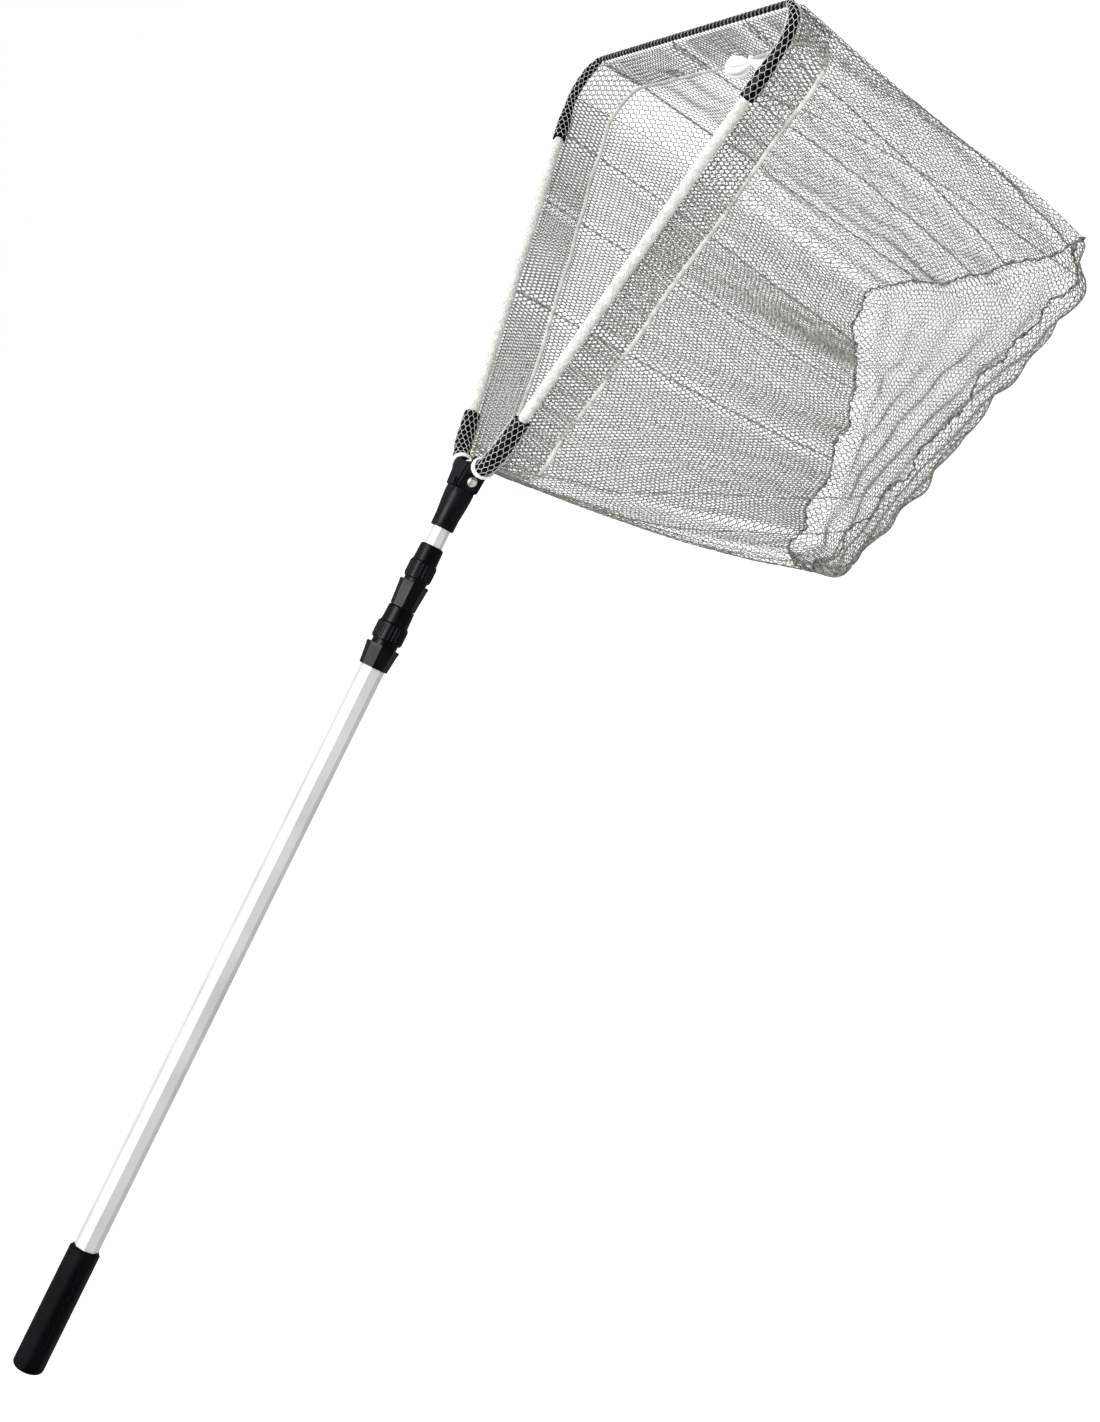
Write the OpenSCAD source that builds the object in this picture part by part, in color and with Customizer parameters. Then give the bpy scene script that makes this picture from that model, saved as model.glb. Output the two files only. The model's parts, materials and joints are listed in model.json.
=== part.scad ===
// Folding telescopic landing net.
// Origin: centre of the flat butt of the grip. +Y runs along the pole to the net, +X to the right,
// +Z out of the net's mouth. The bag hangs towards -Z.

/* [Pole] */
// Length of the rubber grip
grip_length = 127; // [100:1:160]
// Width of the grip across its flats
grip_width = 30.4; // [29:0.2:34]
// Outer tube, across flats
outer_af = 24; // [24:0.1:24.4]
// Middle tube, across flats
middle_af = 21; // [20.8:0.1:21]
// Inner tube, across flats
inner_af = 18; // [17.8:0.1:18]
// Distance from the butt to the top of the hub's lock sleeve, pole closed
hub_y = 958; // [950:1:990]

/* [Head] */
// Angle of each arm from the pole
splay = 25; // [24:0.5:26]
// Distance from the pole's axis to the arm's centre line, level with the pivots
arm_offset = 40.9; // [40:0.1:44]
// Distance from the pivot level to the bare start of each arm tube, along the pole
arm_start = 71; // [66:1:76]
// Bare length of each arm tube
arm_length = 381; // [360:1:420]
// Diameter of each arm tube
arm_diameter = 10; // [9.5:0.1:11]
// Straight length of each plastic tip before its bend
tip_straight = 50; // [40:1:60]
// Radius of the tip's bend
tip_bend_radius = 40; // [36:1:44]
// Angle that the tip turns through
tip_turn = 80; // [70:1:84]

/* [Bag] */
// Depth of the bag below the rim at the far side
bag_depth = 440; // [380:5:480]
// Depth of the bag below the rim at the hub side
bag_depth_hub = 345; // [300:5:380]
// Width of the closed end as a share of the mouth's width
bag_taper = 0.74; // [0.6:0.02:0.85]
// Thickness of the netting wall
bag_wall = 1.5; // [1:0.5:4]

/* [Hidden] */
$fn = 64;
wall_outer = 1.2;
wall_middle = 1.1;
wall_inner = 1.0;
slip = 0.1;

// Twist locks: the lower one holds the middle tube, the upper one the inner tube
lower_base_y = 757;
lower_base_length = 24;
upper_base_y = 824.1;
upper_base_length = 28;
spigot_length = 20;
lower_nut_gap = 5;
upper_nut_gap = 3.5;
lower_spigot_r = 13.8;
upper_spigot_r = 12.2;
lower_collet_r = 12.6;
upper_collet_r = 11.1;
collet_length = 14;
collet_lift = 4.5;
ring_length = 20;
neck_length = 18;

// Where each tube starts, above the butt
outer_tube_y = 6.1;
middle_tube_y = 40;
inner_tube_y = 70;

// Hub and the two oblique pivots
seam_tilt = splay / 2;
pivot_x = 13.4;
pivot_y = hub_y + 12;
pin_r = 3;
pin_depth = 9;
root_thickness = 7.6;
root_foot = 10.8;
head_r = 4.7;
cross_y = hub_y - 9;
cross_pin_r = 1.5;
sleeve_length = 44;
sleeve_half_x = 17;
sleeve_half_z = 13.2;
sleeve_cavity_r = 10.9;
block_half_z = 12;
block_height = 28;
ring_r = 8;
ring_wire = 0.6;

arm_r = arm_diameter / 2;
socket_r = 7.3;
hem_thickness = 0.7;
tip_end = 15;
border_depth = 45;
tag_width = 100;
tag_height = 26;
arm_foot_x = arm_offset + arm_start * tan(splay);
arm_end_x = arm_foot_x + arm_length * sin(splay);
arm_end_y = pivot_y + arm_start + arm_length * cos(splay);

// ---------- shared shapes ----------

// Stands children that are drawn along +Z at the given place along the pole
module along_pole(y = 0) {
    translate([0, y, 0]) rotate([-90, 0, 0]) children();
}

// Eight-sided bar, sized across its flats
module octagon_bar(af, length) {
    rotate([0, 0, 22.5]) cylinder(r = af / 2 / cos(22.5), h = length, $fn = 8);
}

module octagon_tube(af, wall, length) {
    difference() {
        octagon_bar(af, length);
        translate([0, 0, -1]) octagon_bar(af - 2 * wall, length + 2);
    }
}

// Tapered eight-sided block
module octagon_taper(af_low, af_high, length) {
    rotate([0, 0, 22.5]) {
        cylinder(r1 = af_low / 2 / cos(22.5), r2 = af_high / 2 / cos(22.5), h = length, $fn = 8);
    }
}

// Flanged plug that closes the foot of a tube and guides it in the next tube
module tube_foot(flange_af, plug_af, y) {
    along_pole(y - 4) octagon_bar(flange_af, 4);
    along_pole(y - 1) octagon_bar(plug_af, 21);
}

// ---------- pole ----------

// Rubber sleeve with rounded corners, a soft butt edge, a chamfered top and a row of grooves on each side
module grip() {
    edge_r = 5;
    chamfer = 4;
    groove_r = 1.6;
    groove_pitch = 10;
    first_groove = 30;
    round_r = grip_width / 2 * 1.045;
    color("#1c1c1d") difference() {
        intersection() {
            along_pole() octagon_bar(grip_width, grip_length);
            along_pole() rotate_extrude() union() {
                translate([0, edge_r]) square([round_r, grip_length - edge_r - 3]);
                square([round_r - edge_r, grip_length]);
                translate([round_r - edge_r, edge_r]) circle(r = edge_r);
                translate([0, grip_length - chamfer]) {
                    polygon([[0, 0], [round_r, 0], [round_r - 2.6, chamfer], [0, chamfer]]);
                }
            }
        }
        along_pole(4) octagon_bar(outer_af + 2 * slip, grip_length);
        for (side = [-1, 1], k = [0 : 7]) {
            translate([side * (grip_width / 2 + 0.9), first_groove + groove_pitch * k, 0]) {
                rotate([90, 0, 0]) cylinder(r = groove_r, h = 4, center = true);
            }
        }
    }
}

module butt_plug() {
    color("#2a2a2b") {
        along_pole(4.2) octagon_bar(outer_af - 0.2, 1.8);
        along_pole(5) octagon_bar(outer_af - 2 * wall_outer - 2 * slip, 25);
    }
}

module outer_tube() {
    top = lower_base_y + lower_base_length + 3;
    color("#cfd2d4") along_pole(outer_tube_y) octagon_tube(outer_af, wall_outer, top - outer_tube_y);
}

// Tapered base with a round spigot that carries the turning nut
module lock_base(y, length, tube_af, spigot_r, collet_r, af_low, af_high) {
    difference() {
        union() {
            along_pole(y) octagon_taper(af_low, af_high, length - 3);
            along_pole(y + length - 3.4) octagon_bar(af_high + 0.5, 3.4);
            along_pole(y + length - 1) cylinder(r = spigot_r, h = spigot_length + 1);
        }
        along_pole(y - 1) octagon_bar(tube_af + 2 * slip, length + 5);
        along_pole(y + length) cylinder(r = collet_r + slip, h = spigot_length + 1);
    }
}

// Split ring that the nut squeezes onto the sliding tube
module collet(y, outer_r, tube_af) {
    slit = 2;
    difference() {
        along_pole(y) cylinder(r = outer_r, h = collet_length);
        along_pole(y - 1) octagon_bar(tube_af + 2 * slip, collet_length + 2);
        translate([outer_r, y + collet_length / 2, 0]) {
            cube([outer_r, collet_length + 6, slit], center = true);
        }
    }
}

// Turning nut: ribbed ring below, smooth neck above
module lock_nut(base_top, gap, spigot_r, tube_af, ring_outer, neck_outer, ribs) {
    y = base_top + gap;
    bore_r = tube_af / 2 / cos(22.5) + 0.25;
    difference() {
        union() {
            along_pole(y) rotate_extrude() polygon([
                [bore_r, 0], [ring_outer - 1.2, 0], [ring_outer - 0.4, 1.2],
                [ring_outer - 0.4, ring_length - 1.6], [ring_outer - 1.6, ring_length],
                [neck_outer + 0.5, ring_length], [neck_outer, ring_length + neck_length - 1.5],
                [neck_outer - 1.5, ring_length + neck_length], [bore_r, ring_length + neck_length]
            ]);
            for (k = [0 : ribs - 1]) {
                along_pole(y + 2.4) rotate([0, 0, 360 / ribs * k]) translate([ring_outer - 0.9, 0, 0]) {
                    cylinder(r = 1, h = ring_length - 5);
                }
            }
        }
        along_pole(y - 1) cylinder(r = spigot_r + 0.05, h = spigot_length - gap + 2);
    }
}

module lower_lock_base() {
    color("#232324") {
        lock_base(lower_base_y, lower_base_length, outer_af, lower_spigot_r, lower_collet_r, 28, 32.4);
    }
}

module lower_collet() {
    y = lower_base_y + lower_base_length + collet_lift;
    color("#d8d8d2") collet(y, lower_collet_r - slip / 2, middle_af);
}

module lower_lock_nut() {
    color("#202021") {
        lock_nut(lower_base_y + lower_base_length, lower_nut_gap, lower_spigot_r, middle_af, 16.4, 14, 24);
    }
}

module middle_tube() {
    top = upper_base_y + upper_base_length;
    color("#cfd2d4") along_pole(middle_tube_y) octagon_tube(middle_af, wall_middle, top - middle_tube_y);
}

module middle_foot() {
    color("#2a2a2b") {
        tube_foot(
            outer_af - 2 * wall_outer - 2 * slip,
            middle_af - 2 * wall_middle - 2 * slip,
            middle_tube_y - slip
        );
    }
}

module upper_lock_base() {
    color("#232324") {
        lock_base(upper_base_y, upper_base_length, middle_af, upper_spigot_r, upper_collet_r, 25, 28.6);
    }
}

module upper_collet() {
    y = upper_base_y + upper_base_length + collet_lift;
    color("#d8d8d2") collet(y, upper_collet_r - slip / 2, inner_af);
}

module upper_lock_nut() {
    color("#202021") {
        lock_nut(upper_base_y + upper_base_length, upper_nut_gap, upper_spigot_r, inner_af, 14.4, 12.4, 20);
    }
}

// Hole for the pin that holds the hub in the inner tube
module cross_hole() {
    translate([0, cross_y, 0]) rotate([0, 90, 0]) cylinder(r = cross_pin_r + 0.02, h = 30, center = true);
}

module inner_tube() {
    color("#d3d6d8") difference() {
        along_pole(inner_tube_y) octagon_tube(inner_af, wall_inner, hub_y - 1 - inner_tube_y);
        cross_hole();
    }
}

module inner_foot() {
    color("#2a2a2b") {
        tube_foot(
            middle_af - 2 * wall_middle - 2 * slip,
            inner_af - 2 * wall_inner - 2 * slip,
            inner_tube_y - slip
        );
    }
}

// ---------- hub ----------

// Places children in the pivot's own frame on one side (+1 right, -1 left):
// local +X runs out along the pin, local +Y up along the seam
module pivot_frame(side) {
    mirror([side < 0 ? 1 : 0, 0, 0]) {
        translate([pivot_x, pivot_y, 0]) rotate([0, 0, -seam_tilt]) children();
    }
}

// Bar along local +X, from one depth to another
module pin_bar(r, from, to) {
    translate([from, 0, 0]) rotate([0, 90, 0]) cylinder(r = r, h = to - from);
}

// Wedge between the arm roots, with a stem into the inner tube and an eyed lug on top
module hub_block() {
    foot_gap = 0.3;
    low = pivot_x - (pivot_y - hub_y - foot_gap) * tan(seam_tilt);
    high = pivot_x + (block_height + hub_y - pivot_y) * tan(seam_tilt);
    lug_y = hub_y + block_height;
    eye_r = 1.8;
    lug_r = 5;
    lug_thickness = 4;
    color("#26282a") difference() {
        union() {
            translate([0, 0, -block_half_z]) linear_extrude(2 * block_half_z) polygon([
                [-low, hub_y + foot_gap], [low, hub_y + foot_gap],
                [high, lug_y], [-high, lug_y]
            ]);
            along_pole(hub_y - 35) cylinder(r = inner_af / 2 - wall_inner - slip, h = 36);
            translate([-lug_r, lug_y - 1, -lug_thickness / 2]) cube([2 * lug_r, lug_r + 1, lug_thickness]);
            translate([0, lug_y + lug_r - 0.5, 0]) cylinder(r = lug_r, h = lug_thickness, center = true);
        }
        translate([0, lug_y + lug_r, 0]) cylinder(r = eye_r, h = lug_thickness + 2, center = true);
        cross_hole();
        for (side = [-1, 1]) pivot_frame(side) pin_bar(pin_r + 0.01, -pin_depth - 0.5, 5);
        for (side = [-1, 1]) {
            translate([0, 0, side * (block_half_z + 0.6)]) rotate([side * 6, 0, 0]) {
                translate([0, hub_y - 6, 0]) cube([80, 8, 1.2], center = true);
            }
        }
    }
}

// Raised catch at the foot of the block that the sleeve's edge snaps under
module hub_catch() {
    color("#2c2e30") translate([0, hub_y + 0.9, block_half_z + 0.05]) linear_extrude(1.9) {
        polygon([[-9, 0], [9, 0], [7.2, 8.5], [-7.2, 8.5]]);
    }
}

module hub_cross_pin() {
    color("#c9cbcd") translate([0, cross_y, 0]) rotate([0, 90, 0]) {
        cylinder(r = cross_pin_r, h = inner_af - 0.2, center = true);
    }
}

module pivot_pin() {
    pin_bar(pin_r, -pin_depth, root_thickness + 0.8);
    translate([root_thickness + 0.8, 0, 0]) rotate([0, 90, 0]) rotate_extrude() {
        polygon([[0, 0], [head_r, 0], [head_r, 0.7], [head_r - 1.4, 1.7], [1.6, 1.9], [1.2, 1.2], [0, 1.2]]);
    }
}

module right_pivot_pin() {
    color("#c4c6c8") pivot_frame(1) pivot_pin();
}

module left_pivot_pin() {
    color("#c4c6c8") pivot_frame(-1) pivot_pin();
}

module pivot_washers() {
    color("#aeb1b4") for (side = [-1, 1]) pivot_frame(side) difference() {
        pin_bar(5.2, root_thickness + 0.2, root_thickness + 0.75);
        pin_bar(pin_r + 0.05, 0, 20);
    }
}

module net_ring() {
    color("#b9a46a") translate([0, hub_y + block_height + 5 + ring_r, 0]) rotate([0, 90, 0]) {
        rotate_extrude() translate([ring_r, 0]) circle(r = ring_wire, $fn = 24);
    }
}

module spring_collar() {
    color("#303133") difference() {
        along_pole(hub_y - 39) cylinder(r = sleeve_cavity_r - 0.15, h = 4);
        along_pole(hub_y - 40) octagon_bar(inner_af + 2 * slip, 6);
    }
}

// Coil spring that pushes the sleeve up against the arm roots
module sleeve_spring() {
    turns = 4.5;
    coil_r = 10.35;
    wire_r = 0.4;
    low = hub_y - 34.4;
    rise = 26;
    steps = 63;
    sides = 6;
    points = [
        for (k = [0 : steps], j = [0 : sides - 1])
            let (turn = 360 * turns * k / steps, around = 360 * j / sides, r = coil_r + wire_r * cos(around))
            [r * cos(turn), r * sin(turn), rise * k / steps + wire_r * sin(around)]
    ];
    walls = [
        for (k = [0 : steps - 1], j = [0 : sides - 1])
            let (a = k * sides + j, b = k * sides + (j + 1) % sides)
            [a, a + sides, b + sides, b]
    ];
    first_cap = [for (j = [0 : sides - 1]) j];
    last_cap = [for (j = [sides - 1 : -1 : 0]) steps * sides + j];
    color("#b5b8ba") along_pole(low) polyhedron(points, concat(walls, [first_cap, last_cap]));
}

// Two discs whose hull is one cross-section of the sleeve, with these half-widths in X and Z
module sleeve_slice(y, half_x, half_z) {
    for (side = [-1, 1]) {
        along_pole(y) translate([side * (half_x - half_z * 0.96), 0, 0]) {
            scale([0.96, 1, 1]) cylinder(r = half_z, h = 0.4, $fn = 36);
        }
    }
}

module lock_sleeve() {
    base_y = hub_y - sleeve_length;
    // distance up the sleeve, half-width in X, half-width in Z
    profile = [
        [0, 11.8, 11.8], [1.2, 12.3, 12.3], [14, 12.7, 12.5],
        [27, 15.2, 13.2], [37, 16.6, 13.6], [43.6, sleeve_half_x, sleeve_half_z]
    ];
    color("#1d1f21") difference() {
        for (k = [0 : len(profile) - 2]) hull() {
            sleeve_slice(base_y + profile[k][0], profile[k][1], profile[k][2]);
            sleeve_slice(base_y + profile[k + 1][0], profile[k + 1][1], profile[k + 1][2]);
        }
        along_pole(base_y - 1) octagon_bar(inner_af + 4 * slip, 6);
        along_pole(base_y + 3.6) cylinder(r = sleeve_cavity_r, h = 32.4);
        along_pole(base_y + 35) cylinder(r = 9.95, h = 12);
        along_pole(base_y + 40) cylinder(r = sleeve_cavity_r, h = 12);
    }
}

// ---------- arms ----------

// Points of the arm's centre line, in the right-hand pivot's own frame
function arm_point(s) = [arm_local_x0 + s * sin(seam_tilt), arm_local_y0 + s * cos(seam_tilt)];
arm_local_x0 = (arm_foot_x - pivot_x) * cos(seam_tilt) - arm_start * sin(seam_tilt);
arm_local_y0 = (arm_foot_x - pivot_x) * sin(seam_tilt) + arm_start * cos(seam_tilt);

// Rounded lump that the root's hulls run between
module root_lump(at, r, half_z) {
    translate([at[0], at[1], 0]) scale([1, 1, half_z / r]) sphere(r = r, $fn = 28);
}

// Places children, drawn along +Z, on the arm's line at distance s from its bare start
module on_arm(s) {
    at = arm_point(s);
    translate([at[0], at[1], 0]) rotate([0, 0, -seam_tilt]) rotate([-90, 0, 0]) children();
}

module arm_root() {
    elbow = [23.8, 25];
    bend = arm_point(-36);
    difference() {
        union() {
            intersection() {
                translate([0.3, -root_foot, -11]) cube([root_thickness - 0.3, 28, 22]);
                pin_root_outline();
            }
            hull() {
                translate([0.3, 6, -10]) cube([root_thickness, 11, 20]);
                root_lump(elbow, 7.2, 9.5);
            }
            hull() {
                root_lump(elbow, 7.2, 9.5);
                root_lump(bend, 7.4, 9.5);
            }
            hull() {
                root_lump(bend, 7.4, 9.5);
                on_arm(-4) scale([1, 1.12, 1]) cylinder(r = 8, h = 4, $fn = 32);
            }
        }
        pin_bar(pin_r + 0.05, -1, 30);
        pin_bar(head_r + 0.9, root_thickness, 30);
        on_arm(-30) cylinder(r = arm_r + 0.05, h = 40);
        for (side = [-1, 1]) translate([0, 0, side * 9.4]) root_panel();
    }
}

// Foot of the root: a large arc that clears the sleeve's edge as the arm turns
module pin_root_outline() {
    foot_r = 40;
    translate([0, foot_r - root_foot, 0]) rotate([0, 90, 0]) cylinder(r = foot_r, h = 20);
}

// Shallow sunk panel on the root's flat side
module root_panel() {
    linear_extrude(1.6, center = true) offset(r = 1, $fn = 16) {
        polygon([[22, 23], [27, 21], [38, 40], [41, 58], [36, 59], [33, 43]]);
    }
}

module arm_tube() {
    difference() {
        on_arm(-29) cylinder(r = arm_r, h = 29 + arm_length + 24);
        on_arm(-30) cylinder(r = arm_r - 0.9, h = 60 + arm_length + 24);
    }
}

// Elbow that leads the rim inwards: a socket on the tube, a taper, the bend, and a thin end
module arm_tip() {
    socket_length = 30;
    thick = 5.4;
    thin = 3.6;
    start = arm_point(arm_length + tip_straight);
    toward = [-cos(seam_tilt), sin(seam_tilt)];
    centre = start + toward * tip_bend_radius;
    difference() {
        union() {
            on_arm(arm_length) cylinder(r = socket_r, h = socket_length);
            on_arm(arm_length + socket_length - 0.5) {
                cylinder(r1 = socket_r - 0.1, r2 = thick + 0.1, h = tip_straight - socket_length + 1);
            }
            translate(centre) rotate([0, 0, -seam_tilt]) {
                rotate_extrude(angle = tip_turn) translate([tip_bend_radius, 0]) circle(r = thick);
                rotate([0, 0, tip_turn]) translate([tip_bend_radius, -0.5, 0]) rotate([-90, 0, 0]) {
                    cylinder(r1 = thick + 0.1, r2 = thin, h = tip_end);
                }
            }
        }
        on_arm(arm_length - 1) cylinder(r = arm_r + 0.05, h = 26);
    }
}

// Netting hem wrapped round the bare tube
module hem() {
    difference() {
        on_arm(3) cylinder(r = arm_r + 0.1 + hem_thickness, h = arm_length - 6);
        on_arm(2) cylinder(r = arm_r + 0.1, h = arm_length);
    }
}

module right_arm_root() {
    color("#222426") pivot_frame(1) arm_root();
}

module left_arm_root() {
    color("#222426") pivot_frame(-1) arm_root();
}

module right_arm_tube() {
    color("#d6d9da") pivot_frame(1) arm_tube();
}

module left_arm_tube() {
    color("#d6d9da") pivot_frame(-1) arm_tube();
}

module right_arm_tip() {
    color("#1b1b1c") pivot_frame(1) arm_tip();
}

module left_arm_tip() {
    color("#1b1b1c") pivot_frame(-1) arm_tip();
}

module right_hem() {
    color("#eceee9") pivot_frame(1) hem();
}

module left_hem() {
    color("#eceee9") pivot_frame(-1) hem();
}

// ---------- front cord and bag ----------

tip_reach = arm_end_x + tip_straight * sin(splay);
cord_y = arm_end_y + tip_straight * cos(splay) + 59;
cord_half = tip_reach - 30;

module front_cord() {
    color("#2c2d2c") translate([0, cord_y, 0]) rotate([0, 90, 0]) {
        cylinder(r = 2.4, h = 2 * cord_half, center = true);
    }
}

module front_winding() {
    color("#5a5c58") translate([0, cord_y, 0]) rotate([0, 90, 0]) difference() {
        cylinder(r = 4.6, h = 2 * cord_half - 12, center = true);
        cylinder(r = 2.5, h = 2 * cord_half, center = true);
    }
}

// Right half of the bag's outline: shrink pulls it in sideways, hub_in moves its hub edge outwards
function bag_outline(shrink, hub_in) = [
    [42 * shrink, hub_y + 34 + hub_in],
    [tip_reach * shrink, cord_y - 40],
    [(tip_reach - 34) * shrink, cord_y - 12]
];

// Closed bag form: a plate at the mouth joined to a lower, smaller plate
module bag_form(inset, top, lift) {
    hull() {
        bag_plate(bag_outline(1, 0), inset, top, 0);
        bag_plate(bag_outline(bag_taper, 45), inset, lift - bag_depth_hub, bag_depth - bag_depth_hub);
    }
}

// Corners of one plate; fall is how much lower its far edge lies than its hub edge
module bag_plate(half, inset, z, fall) {
    span = cord_y - hub_y;
    for (side = [-1, 1], p = half) {
        along = (p[1] - hub_y) / span;
        y = p[1] + (along < 0.5 ? inset : -inset);
        translate([side * (p[0] - inset), y, z - fall * along]) cube([0.5, 0.5, 0.5], center = true);
    }
}

module bag_net() {
    color("#d9dbd5", 0.6) difference() {
        bag_form(0, -12, 0);
        bag_form(bag_wall, -5, bag_wall);
    }
}

// Blank fabric tag that hangs inside the far end of the bag, right of the middle, from the border's seam
module bag_tag() {
    color("#f1f1ee") translate([0.28 * tip_reach, cord_y - 20, -border_depth - 5]) {
        cube([tag_width, 1, tag_height], center = true);
    }
}

grip();
butt_plug();
outer_tube();
lower_lock_base();
lower_collet();
lower_lock_nut();
middle_tube();
middle_foot();
upper_lock_base();
upper_collet();
upper_lock_nut();
inner_tube();
inner_foot();
hub_block();
hub_catch();
hub_cross_pin();
left_pivot_pin();
right_pivot_pin();
pivot_washers();
net_ring();
spring_collar();
sleeve_spring();
lock_sleeve();
left_arm_root();
left_arm_tube();
left_arm_tip();
left_hem();
right_arm_root();
right_arm_tube();
right_arm_tip();
right_hem();
front_cord();
front_winding();
bag_net();
bag_tag();
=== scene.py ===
"""Looks of the folding landing net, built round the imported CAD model.

Metres, in the model's own frame: +Y runs along the pole to the net, +X to the right, +Z out of the mouth.
"""
import json
import math

import bpy
import numpy as np
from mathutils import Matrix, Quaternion, Vector


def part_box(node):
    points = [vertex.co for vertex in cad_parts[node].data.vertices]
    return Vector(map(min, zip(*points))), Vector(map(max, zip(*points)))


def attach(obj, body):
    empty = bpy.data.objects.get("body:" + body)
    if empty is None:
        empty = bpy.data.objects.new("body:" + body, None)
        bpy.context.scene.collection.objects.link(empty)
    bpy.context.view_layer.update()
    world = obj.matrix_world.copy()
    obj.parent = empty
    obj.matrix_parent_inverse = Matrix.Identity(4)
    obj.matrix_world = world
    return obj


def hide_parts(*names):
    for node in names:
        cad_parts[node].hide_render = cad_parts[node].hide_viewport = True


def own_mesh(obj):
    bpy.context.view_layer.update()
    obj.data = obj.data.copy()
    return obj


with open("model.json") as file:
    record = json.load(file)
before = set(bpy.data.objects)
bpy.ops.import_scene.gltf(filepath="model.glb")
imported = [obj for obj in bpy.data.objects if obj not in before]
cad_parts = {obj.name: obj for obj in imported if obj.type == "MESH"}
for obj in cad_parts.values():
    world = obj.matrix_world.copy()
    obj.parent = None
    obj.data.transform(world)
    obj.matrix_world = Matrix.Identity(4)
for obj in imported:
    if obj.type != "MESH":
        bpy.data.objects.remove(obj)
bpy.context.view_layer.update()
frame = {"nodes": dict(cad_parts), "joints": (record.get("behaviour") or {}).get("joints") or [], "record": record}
NODES = frame["nodes"]
JOINTS = {j["name"]: j for j in frame["joints"]}

# ---------------------------------------------------------------- sizes taken from the frame


def vertices_of(node):
    return np.array([v.co for v in NODES[node].data.vertices])


def tube_line(node):
    """Both ends of a straight tube's centre line, hub end first."""
    points = vertices_of(node)
    middle = points.mean(0)
    axis = np.linalg.svd(points - middle, full_matrices=False)[2][0]
    axis *= np.sign(axis[1])
    along = (points - middle) @ axis
    return middle + axis * along.min(), middle + axis * along.max()


HEM_START, HEM_END = tube_line("right_hem")
ARM_AXIS = (HEM_END - HEM_START) / np.linalg.norm(HEM_END - HEM_START)
INWARD = np.array([-ARM_AXIS[1], ARM_AXIS[0], 0.0])
HEM_GAP = 0.003
ARM_START = HEM_START - ARM_AXIS * HEM_GAP
ARM_END = HEM_END + ARM_AXIS * HEM_GAP
TIP_STRAIGHT = 0.050
TIP_BEND_R = 0.040
TIP_TURN = math.radians(80)
TIP_LAST = 0.015
# The eyed lug rises this far above the hub block's top edge
LUG_RISE = 0.0095
HUB_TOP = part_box("hub_block")[1].y - LUG_RISE
PIVOT = Vector(JOINTS["right_arm_fold"]["pos_m"])
CORD_LOW, CORD_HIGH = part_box("front_cord")
CORD_Y = (CORD_LOW.y + CORD_HIGH.y) / 2
CORD_HALF = CORD_HIGH.x

# ---------------------------------------------------------------- curves


def catmull_rom(a, b, c, d, t):
    """Point at share t of the curve's stretch from b to c."""
    return 0.5 * (2 * b + (c - a) * t + (2 * a - 5 * b + 4 * c - d) * t**2 + (3 * b - a - 3 * c + d) * t**3)


def smooth_path(points, spacing):
    """Catmull-Rom curve through points, resampled at even spacing."""
    p = np.array(points, float)
    padded = np.vstack([2 * p[0] - p[1], p, 2 * p[-1] - p[-2]])
    dense = []
    t = np.linspace(0, 1, 24, endpoint=False)[:, None]
    for k in range(1, len(padded) - 2):
        dense.append(catmull_rom(*padded[k - 1 : k + 3], t))
    dense.append(p[-1:])
    return resample(np.vstack(dense), spacing)


def resample(points, spacing):
    steps = np.linalg.norm(np.diff(points, axis=0), axis=1)
    along = np.concatenate([[0], np.cumsum(steps)])
    count = max(2, round(along[-1] / spacing) + 1)
    want = np.linspace(0, along[-1], count)
    return np.column_stack([np.interp(want, along, points[:, k]) for k in range(3)])


def mirrored(points):
    return points * np.array([-1, 1, 1])


def tip_path():
    """Centre line of the right tip, from the end of the arm tube to the tip's thin end."""
    start = ARM_END + ARM_AXIS * TIP_STRAIGHT
    turn = np.linspace(0, TIP_TURN, 14)[:, None]
    bend = start + TIP_BEND_R * ((1 - np.cos(turn)) * INWARD + np.sin(turn) * ARM_AXIS)
    last_way = math.cos(TIP_TURN) * ARM_AXIS + math.sin(TIP_TURN) * INWARD
    return np.vstack([ARM_END, bend, bend[-1] + last_way * TIP_LAST])


def root_path():
    """Centre line of the right arm root, from beside the hub block to the bare tube."""
    tilt = math.atan2(ARM_AXIS[0], ARM_AXIS[1]) / 2
    out = np.array([math.cos(tilt), -math.sin(tilt), 0])
    up = np.array([math.sin(tilt), math.cos(tilt), 0])
    pivot = np.array(PIVOT)
    beside_block = pivot + out * 0.0125 + up * 0.0175
    elbow = pivot + out * 0.0238 + up * 0.025
    bend = ARM_START - ARM_AXIS * 0.036
    return np.vstack([beside_block, elbow, bend, ARM_START])


RIGHT_ROOT = root_path()
RIGHT_TIP = tip_path()


def rim_half():
    """Right half of the rim's centre line, from the hub's top to the middle of the front cord."""
    hub = np.array([[0, HUB_TOP + 0.003, 0]])
    near_hub = np.array([[0.012, HUB_TOP + 0.002, 0]])
    cord = np.array([[CORD_HALF, CORD_Y, 0], [0, CORD_Y, 0]])
    return np.vstack([hub, near_hub, RIGHT_ROOT[1:], RIGHT_TIP[1:], cord])


# ---------------------------------------------------------------- materials


def material(name, build, roughness=0.5, metallic=0.0):
    """A Principled material whose node tree is finished by build(nodes, links, shader, coords)."""
    m = bpy.data.materials.new(name)
    m.use_nodes = True
    nodes, links = m.node_tree.nodes, m.node_tree.links
    shader = nodes["Principled BSDF"]
    shader.inputs["Base Color"].default_value = (0.5, 0.5, 0.5, 1)
    shader.inputs["Roughness"].default_value = roughness
    shader.inputs["Metallic"].default_value = metallic
    coords = nodes.new("ShaderNodeTexCoord").outputs["Object"]
    build(nodes, links, shader, coords)
    return m


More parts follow.
